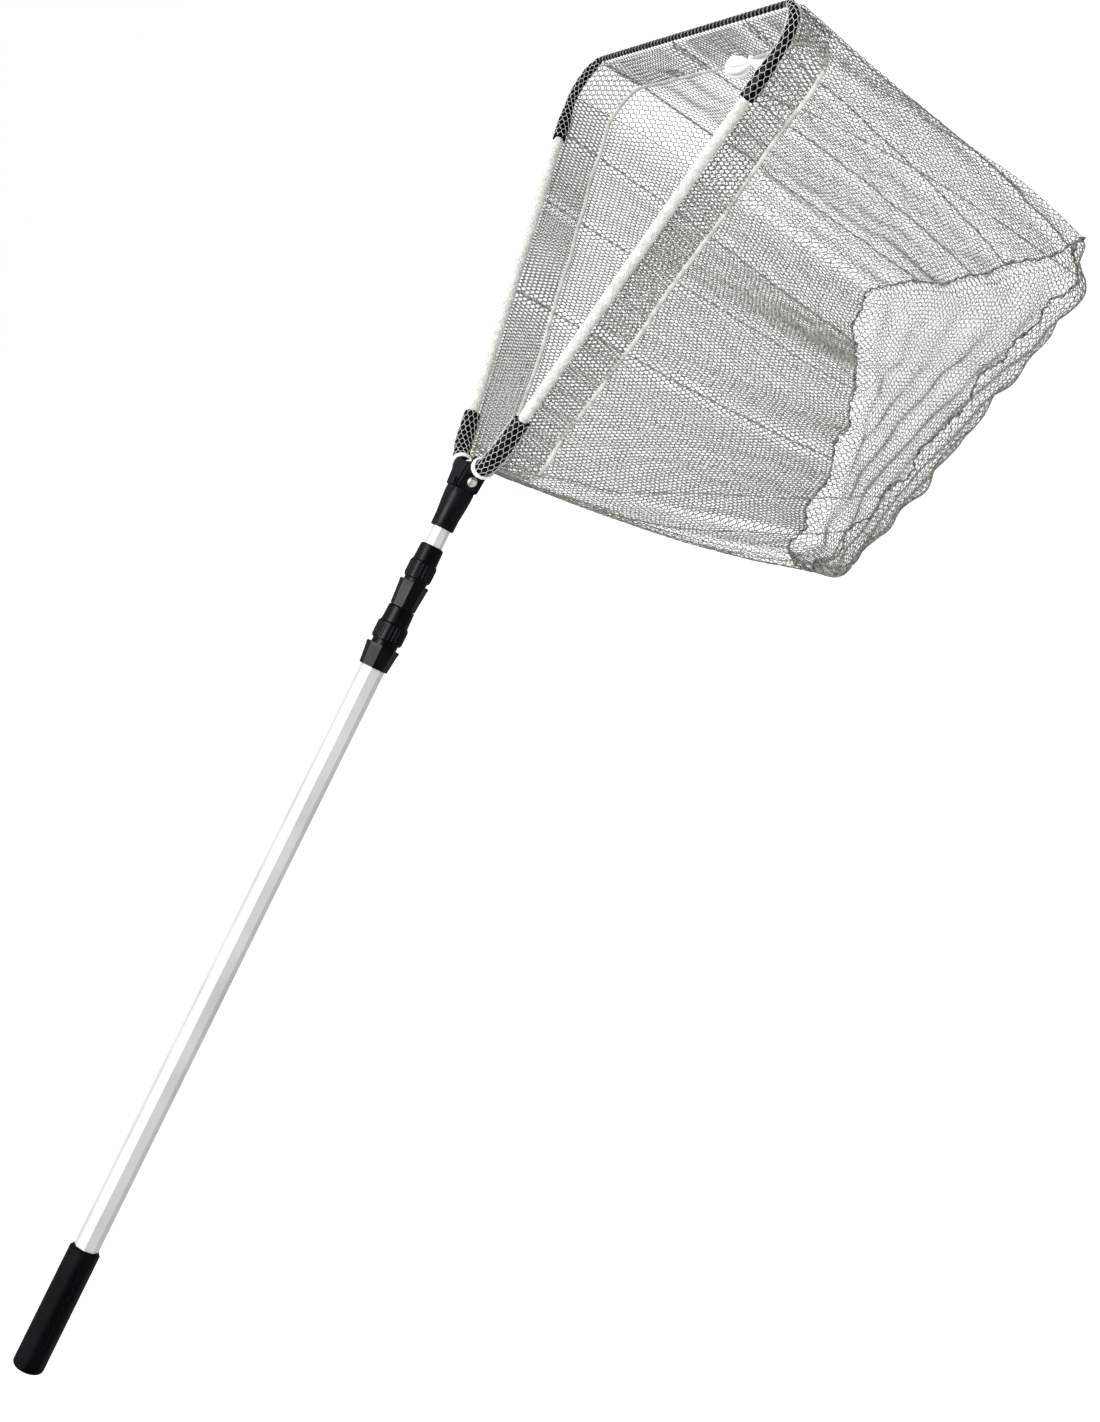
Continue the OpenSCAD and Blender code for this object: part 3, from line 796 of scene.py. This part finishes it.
def floor_strands():
    width = np.linalg.norm(np.diff(FLOOR_FINE[len(FLOOR_FINE) // 2], axis=0), axis=1).sum()
    length = np.linalg.norm(np.diff(FLOOR_FINE[:, FLOOR_FINE.shape[1] // 2], axis=0), axis=1).sum()
    a, b = hex_edges(width, length)
    return prisms(*[on_grid(FLOOR_FINE, p[:, 0] / width, p[:, 1] / length) for p in (a, b)], FLOOR_STRAND_R)


net_piece("net_closed_end", floor_strands())

# The border is a second layer of netting this deep, this far inside the first
BORDER = 0.045 / WALL_HEIGHT
BORDER_GAP = 0.004
border = dict(top=0.0, bottom=BORDER, inward=BORDER_GAP, shift=CELL / 2)
net_piece("border_right", wall_strands(SIDE_FROM, SIDE_TO, radius=BORDER_STRAND_R, **border))
net_piece("border_front", wall_strands(SIDE_TO, FRONT_TO, radius=FRONT_STRAND_R, **border))
net_piece("border_hub", wall_strands(0, SIDE_FROM, **border), "net_white", "net_white")
# The left border takes the same lighter copy: painted light over its shade
net_piece("border_left", wall_strands(FRONT_TO, WHOLE, radius=BORDER_STRAND_R, **border), "net_left_painted_light")


def wobble(path, amount, seed, turns=range(6, 30, 4)):
    """Adds a small smooth wander to a path, made of waves with these numbers of turns along it."""
    rng = np.random.default_rng(seed)
    t = np.linspace(0, 1, len(path))
    out = path.copy()
    for axis in range(3):
        for k in turns:
            out[:, axis] += amount / 3 * rng.normal() * np.sin(math.tau * k * t + rng.uniform(0, 7))
    return out


def wall_line(v, first=0.0, last=1.0, count=600):
    u = np.linspace(first, last, count)
    return on_grid(WALL_FINE, u, np.full(count, v))


# Times that the tape's line is averaged with its neighbours
TAPE_EASE = 50


def tape_line():
    """The border's seam: outside on the right wall, inside on the others, and eased round the corners."""
    path = wall_line(BORDER)
    share = np.linspace(0, 1, len(path))
    inside = np.interp(share, [0, SIDE_FROM, SIDE_TO - 0.01, SIDE_TO + 0.03, 1], [1, 0, 0, 1, 1])
    path = moved_in(path, (BORDER_GAP + 0.002) * inside[:, None])
    for _ in range(TAPE_EASE):
        path[1:-1] = (path[:-2] + 2 * path[1:-1] + path[2:]) / 4
    return path


# Half the tape's thickness, and how many times deeper it is than thick
TAPE_R = 0.0011
TAPE_DEPTH = 2.3
FOOT_POINTS = 1400
tape = wobble(tape_line(), 0.0012, 3)
net_piece("border_tape", tube(tape, TAPE_R, 8, TAPE_DEPTH), "seam_tape")
foot_seam = wobble(wobble(wall_line(1.0, count=FOOT_POINTS), 0.0020, 5), 0.0013, 6, range(60, 230, 17))
seam_swell = 0.0008 + 0.0006 * np.abs(wobble(np.zeros((FOOT_POINTS, 3)), 1.0, 8, range(20, 140, 13))[:, 0])
net_piece("foot_seam", tube(foot_seam, seam_swell, 6), "net_seam")


def crease_threads():
    parts = []
    v = np.linspace(0.02, 0.995, 70)
    for k, (top, foot) in enumerate(CREASES):
        path = on_grid(WALL_FINE, (top + (foot - top) * v) % 1.0, v)
        parts.append(tube(wobble(path, 0.0009, 40 + k), 0.0006, 5))
    return joined(parts)


net_piece("crease_threads", crease_threads(), "net_crease")

# ---------------------------------------------------------------- hems, bands and wraps


def helix(path, radius, pitch, phase=0.0, per_turn=10, flat=1.0):
    """Path that winds round another path."""
    length = np.linalg.norm(np.diff(path, axis=0), axis=1).sum()
    core = resample(path, pitch / per_turn)
    side, up = path_frames(core)
    angle = phase + math.tau * np.linspace(0, length / pitch, len(core))[:, None]
    return core + radius * (np.cos(angle) * side + flat * np.sin(angle) * up)


def sleeve_wrap(path, radius, cell, strand, flat=1.0):
    """Hex netting wrapped round a path: vertices and triangles."""
    length = np.linalg.norm(np.diff(path, axis=0), axis=1).sum()
    radius = np.broadcast_to(np.asarray(radius, float), len(path))
    around = math.tau * radius.mean() * (1 + flat) / 2
    a, b = hex_edges(around, length, cell)
    side, up = path_frames(path)
    share = np.linspace(0, 1, len(path))
    ends = []
    for p in (a, b):
        s = np.clip(p[:, 1] / length, 0, 1)
        angle = p[:, 0] / around * math.tau
        at, out_side, out_up = (
            np.column_stack([np.interp(s, share, v[:, k]) for k in range(3)]) for v in (path, side, up)
        )
        out = out_side * np.cos(angle)[:, None] + flat * out_up * np.sin(angle)[:, None]
        ends.append(at + out * np.interp(s, share, radius)[:, None])
    return prisms(ends[0], ends[1], strand)


def ribbed(path, radius, rib, pitch):
    """Radius along a path that swells by rib once every pitch."""
    length = np.linalg.norm(np.diff(path, axis=0), axis=1).sum()
    return radius + rib * np.abs(np.sin(math.pi * np.linspace(0, length / pitch, len(path))))


def for_both_sides(build):
    """Calls build(side name, flip) for the right and left; flip mirrors a path for the left."""
    build("right", lambda p: p)
    build("left", mirrored)


# The root is this much thicker than it is wide
ROOT_OVAL = 1.12
# Hem cloth over the arm tube, and its ribs
HEM_R = 0.0053
HEM_RIB = 0.00035
HEM_RIB_PITCH = 0.0033
# Zigzag seam below the hem: how far it swings, its pitch and its thread
STITCH_R = 0.0017
STITCH_PITCH = 0.0046
STITCH_THREAD_R = 0.00042
# Open knit drawn over the hem
KNIT_R = 0.0055
KNIT_CELL = 0.0042
KNIT_STRAND_R = 0.00045
# Netting over the root and the tip
WRAP_CELL = 0.0052
ROOT_STRAND_R = 0.00027
TIP_STRAND_R = 0.00026


def arm_soft_parts(side, flip):
    """Hem with its seam stitches and knit on one arm, and the netting over its root and tip."""
    body = f"{side}_arm"
    hem_path = resample(np.array([HEM_START, HEM_END]), 0.0011)
    hem = tube(flip(hem_path), ribbed(hem_path, HEM_R, HEM_RIB, HEM_RIB_PITCH), 20)
    under = hem_path + np.array([0, 0, -0.0040]) + INWARD * 0.0034
    over = hem_path + np.array([0, 0, -0.0044]) - INWARD * 0.0026
    stitches = [tube(flip(helix(p, STITCH_R, STITCH_PITCH, 0.4)), STITCH_THREAD_R, 5) for p in (under, over)]
    obj = piece(f"{side}_arm_hem", *joined([hem, *stitches]), MAT["arm_hem"], body, "net_white")
    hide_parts(f"{side}_hem")
    knit = sleeve_wrap(flip(resample(hem_path, 0.004)), KNIT_R, KNIT_CELL, KNIT_STRAND_R)
    piece(f"{side}_arm_knit", *knit, MAT["net_white"], body, "net_white")
    root = smooth_path(RIGHT_ROOT, 0.004)
    root_share = np.linspace(0, 1, len(root))
    fat = np.interp(root_share, [0, 0.25, 0.5, 1], [0.0088, 0.0090, 0.0096, 0.0092])
    root_knit = sleeve_wrap(flip(root), fat, WRAP_CELL, ROOT_STRAND_R, ROOT_OVAL)
    piece(f"{side}_root_wrap", *root_knit, MAT["net_white"], body, "net_white")
    piece(f"{side}_root_band", *knitted_band(root, flip), MAT["hem_cloth"], body, "net_white")
    tip = resample(RIGHT_TIP, 0.004)
    tip_share = np.linspace(0, 1, len(tip))
    thick = np.interp(tip_share, [0, 0.25, 0.4, 0.85, 1], [0.0083, 0.0083, 0.0070, 0.0066, 0.0052])
    tip_knit = sleeve_wrap(flip(tip), thick, WRAP_CELL, TIP_STRAND_R)
    piece(f"{side}_tip_wrap", *tip_knit, MAT["net_white"], body, "net_white")


# Rows of stitches in the bands and in the hub's hem
KNITTED_ROWS = 4
ROW_WIDTH = 0.0017


def knitted_band(root, flip):
    """White knitted band round the root where its netting starts: rows of stitches side by side."""
    way = (root[2] - root[0]) / np.linalg.norm(root[2] - root[0])
    parts = []
    for row in range(KNITTED_ROWS):
        centre = root[0] + way * ROW_WIDTH * row
        loop = ring_round(centre, way, 0.0098 + 0.0003 * (row % 2), ROOT_OVAL)
        parts.append(tube(flip(loop), 0.00105, 6, 1.0))
        parts.append(tube(flip(helix(loop, 0.0011, 0.0024, row * 1.3, 8)), 0.00038, 4))
    return joined(parts)


def ring_round(centre, way, radius, flat):
    """Nearly closed circle square to way."""
    side = np.cross(way, [0, 0, 1.0])
    angle = np.linspace(0, math.tau * 0.998, 60)[:, None]
    return centre + radius * (np.cos(angle) * side + flat * np.sin(angle) * np.array([[0, 0, 1.0]]))


for_both_sides(arm_soft_parts)


def knitted_hem():
    """White knitted strip along the hub block's top edge, from one root's band to the other's."""
    line = along_path(RIM, 60, 0, rim_share(BAND_AT + 0.004))
    line = np.vstack([mirrored(line)[:0:-1], line])
    line[:, 1] += 0.0015
    parts = []
    for row in range(KNITTED_ROWS):
        strip = wobble(line - [0, 0, ROW_WIDTH * row + 0.0005], 0.0006, 20 + row)
        parts.append(tube(strip, 0.0011, 6))
        parts.append(tube(helix(strip, 0.0012, 0.0026, row, 8), 0.0004, 4))
    return joined(parts)


net_piece("hub_hem", knitted_hem(), "hem_cloth", "net_white")

CORD_R = 0.0027
WINDING_R = 0.0029
WINDING_PITCH = 0.0084
WINDING_THREAD_R = 0.0008
cord = resample(np.array([[-CORD_HALF, CORD_Y, 0], [CORD_HALF, CORD_Y, 0]]), 0.004)
front = piece("front_cord_core", *tube(cord, CORD_R, 10), MAT["dark_cord"], "front_rim", "dark_cord")
soft(front)
wound = tube(helix(cord, WINDING_R, WINDING_PITCH, 0, 12), WINDING_THREAD_R, 5)
front_wound = piece("front_cord_winding", *wound, MAT["cord_winding"], "front_rim", "net_grey")
soft(front_wound)
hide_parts("front_cord")
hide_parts("front_winding")
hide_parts("bag_net")


def folded_tag():
    """Blank label sewn to the front seam: one half bunched into a bow, the other half drooping flat."""
    low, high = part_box("bag_tag")
    seam = wall_line(BORDER, SIDE_TO + 0.01, FRONT_TO - 0.01, 200)
    seam = seam[np.argsort(seam[:, 0])]
    share = np.linspace(0, 1, 44)
    x = low.x + share * (high.x - low.x)
    anchor = np.column_stack([np.interp(x, seam[:, 0], seam[:, k]) for k in range(3)])
    anchor[:, 1] += -0.004 + 0.016 * (share - 0.7)
    bow_end = 0.46
    bow = np.sin(math.pi * np.clip(share / bow_end, 0, 1)) ** 0.6
    flat = np.clip((share - bow_end) / 0.12, 0, 1)
    half_height = 0.003 + 0.010 * bow + 0.009 * flat
    droop = 0.013 * np.clip((share - bow_end) / (1 - bow_end), 0, 1)
    up = np.array([0, 0.5, 0.86])
    out = np.array([0, -0.86, 0.5])
    rows = []
    for r in np.linspace(-1, 1, 16):
        puff = 0.008 * bow * (1 - r * r) + 0.0018 * bow * np.sin(9 * r + 14 * share)
        curl = 0.0022 * flat * np.sin(7 * share + 1.5 * r)
        rows.append(anchor + up * (r * half_height - droop)[:, None] + out * (puff + curl)[:, None])
    return thick_sheet(np.array(rows), 0.0005)


def thick_sheet(grid, thickness):
    """Closed thin slab from a grid of points."""
    rows, cols = grid.shape[:2]
    du = np.gradient(grid, axis=1)
    dv = np.gradient(grid, axis=0)
    normal = np.cross(du, dv)
    normal /= np.linalg.norm(normal, axis=2, keepdims=True)
    top = (grid + normal * thickness / 2).reshape(-1, 3)
    low = (grid - normal * thickness / 2).reshape(-1, 3)
    n = rows * cols
    faces = []
    for j in range(rows - 1):
        for i in range(cols - 1):
            a, b, c, d = j * cols + i, j * cols + i + 1, (j + 1) * cols + i + 1, (j + 1) * cols + i
            faces += [[a, b, c, d], [n + d, n + c, n + b, n + a]]
    for i in range(cols - 1):
        end = (rows - 1) * cols + i
        faces += [[i + 1, i, n + i, n + i + 1], [end, end + 1, n + end + 1, n + end]]
    for j in range(rows - 1):
        left, right = j * cols, j * cols + cols - 1
        faces.append([left, left + cols, n + left + cols, n + left])
        faces.append([right + cols, right, n + right, n + right + cols])
    return np.vstack([top, low]), faces


tag = net_piece("cloth_tag", folded_tag(), "tag_cloth", "tag_cloth")
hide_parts("bag_tag")

# ---------------------------------------------------------------- studio


# Power of the lamp that only shows in reflections
GLOSS_POWER = 170


def studio():
    scene = bpy.context.scene
    mesh = bpy.data.meshes.new("studio_floor")
    size, level = 12.0, LOWEST - 0.35
    corners = [(-size, -size, level), (size, -size, level), (size, size, level), (-size, size, level)]
    mesh.from_pydata(corners, [], [(0, 1, 2, 3)])
    ground = bpy.data.objects.new("studio_floor", mesh)
    scene.collection.objects.link(ground)
    mesh.materials.append(pale_floor())
    scene.world = soft_white_world()
    scene.view_settings.view_transform = "Standard"
    target = Vector((0, 1.0, -0.1))
    sun = bpy.data.lights.new("overhead", "SUN")
    sun.energy = 0.75
    sun.angle = math.radians(70)
    lamps = [(sun, (0.5, 1.4, 3.0))]
    areas = [
        ("key", (1.15, 0.75, 2.6), 1.3, 34),
        ("fill", (2.8, 0.6, 0.9), 2.0, 34),
        ("gloss", (1.15, 0.62, 2.6), 1.2, GLOSS_POWER),
    ]
    for name, place, extent, power in areas:
        area = bpy.data.lights.new(name, "AREA")
        area.size = extent
        area.energy = power
        lamps.append((area, place))
    for data, place in lamps:
        lamp = bpy.data.objects.new(data.name, data)
        lamp.location = place
        lamp.rotation_euler = (target - Vector(place)).to_track_quat("-Z", "Y").to_euler()
        lamp.visible_glossy = data.name != "fill"
        scene.collection.objects.link(lamp)
        if data.name == "gloss":
            lamp.visible_diffuse = False
            lamp.light_linking.receiver_collection = moulded_parts()


def moulded_parts():
    """The black plastic and rubber nodes, which alone take the gloss lamp's reflection."""
    moulded = bpy.data.collections.new("moulded parts")
    for s in frame["record"]["subparts"]:
        if s["material_slot"] in ("grip_rubber", "black_plastic", "hub_plastic", "tip_plastic"):
            moulded.objects.link(NODES[s["node"]])
    return moulded


def pale_floor():
    """Pale to the camera and darker to the object, so that plastic and metal keep their contrast."""
    pale = bpy.data.materials.new("studio floor")
    pale.use_nodes = True
    nodes, links = pale.node_tree.nodes, pale.node_tree.links
    shader = nodes["Principled BSDF"]
    shader.inputs["Roughness"].default_value = 0.95
    shader.inputs["Specular IOR Level"].default_value = 0.0
    path = nodes.new("ShaderNodeLightPath")
    tone = nodes.new("ShaderNodeMixRGB")
    tone.inputs["Color1"].default_value = (0.46, 0.46, 0.45, 1)
    tone.inputs["Color2"].default_value = (0.95, 0.95, 0.95, 1)
    links.new(path.outputs["Is Camera Ray"], tone.inputs["Fac"])
    links.new(tone.outputs["Color"], shader.inputs["Base Color"])
    return pale


def soft_white_world():
    """White to the camera; as a light, a sky that is bright overhead and dim at the horizon."""
    world = bpy.data.worlds.new("studio")
    world.use_nodes = True
    nodes, links = world.node_tree.nodes, world.node_tree.links
    background = nodes["Background"]
    background.inputs["Color"].default_value = (1, 1, 1, 1)
    direction = nodes.new("ShaderNodeSeparateXYZ")
    links.new(nodes.new("ShaderNodeTexCoord").outputs["Generated"], direction.inputs["Vector"])
    sky = nodes.new("ShaderNodeMapRange")
    sky.inputs["From Min"].default_value = 0.12
    sky.inputs["From Max"].default_value = 0.9
    sky.inputs["To Min"].default_value = 0.10
    sky.inputs["To Max"].default_value = 1.35
    links.new(direction.outputs["Z"], sky.inputs["Value"])
    path = nodes.new("ShaderNodeLightPath")
    strength = nodes.new("ShaderNodeMixRGB")
    strength.inputs["Color2"].default_value = (1, 1, 1, 1)
    links.new(path.outputs["Is Camera Ray"], strength.inputs["Fac"])
    links.new(sky.outputs["Result"], strength.inputs["Color1"])
    links.new(strength.outputs["Color"], background.inputs["Strength"])
    return world


def camera():
    """Camera at the photograph's viewing angle."""
    azimuth, elevation, roll = math.radians(84.21), math.radians(24.02), math.radians(61.81)
    back = Vector((
        math.sin(azimuth) * math.cos(elevation),
        -math.cos(azimuth) * math.cos(elevation),
        math.sin(elevation),
    ))
    data = bpy.data.cameras.new("camera")
    data.sensor_width = 36
    data.sensor_fit = "AUTO"
    data.lens = 49.72
    data.shift_x = -0.0573
    data.shift_y = -0.1243
    data.clip_start = 0.05
    view = bpy.data.objects.new("camera", data)
    view.location = Vector((0, 1.0004, -0.1934)) + back * 2.0855
    view.rotation_mode = "QUATERNION"
    view.rotation_quaternion = (-back).to_track_quat("-Z", "Y") @ Quaternion((0, 0, 1), -roll)
    bpy.context.scene.collection.objects.link(view)
    bpy.context.scene.camera = view


studio()
camera()
